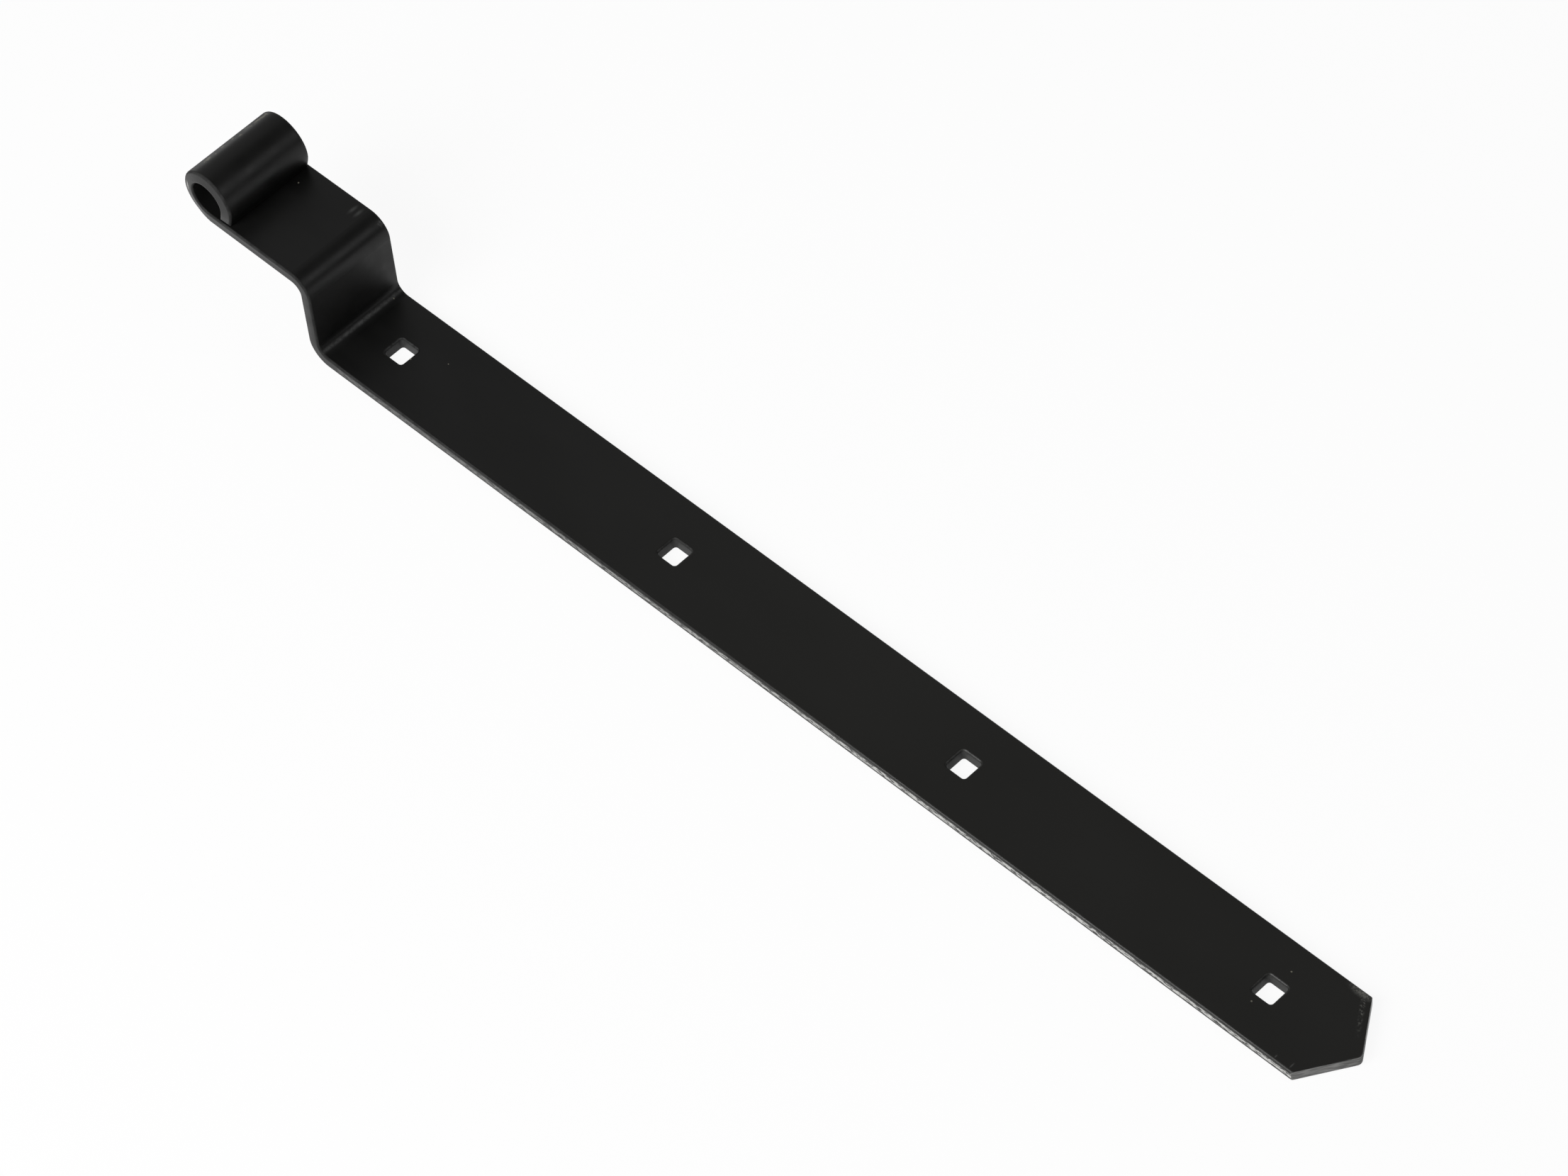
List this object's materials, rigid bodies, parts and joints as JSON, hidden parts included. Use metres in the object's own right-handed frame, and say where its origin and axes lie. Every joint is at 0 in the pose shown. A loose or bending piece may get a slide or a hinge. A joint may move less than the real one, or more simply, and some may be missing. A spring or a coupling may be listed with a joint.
{
  "type": "cranked hinge band",
  "caption": "Cranked strap band of a hook and band hinge: flat steel bar with a pointed leg, square bolt holes, a right-angled step and an end rolled into an eye for the pin.",
  "frame": {"origin": "on the pin axis, at mid width of the strap", "axes": "+X along the long leg to its point, +Y along the pin axis, +Z out of the front face; the back face of the long leg lies level, facing -Z"},
  "size_m": [0.6724, 0.05, 0.076],
  "materials": {
    "black_paint": "satin black paint over rolled steel, slight orange peel, a few rubbed spots"
  },
  "bodies": {
    "root": {"cranked_band": "black_paint"}
  },
  "joints": []
}
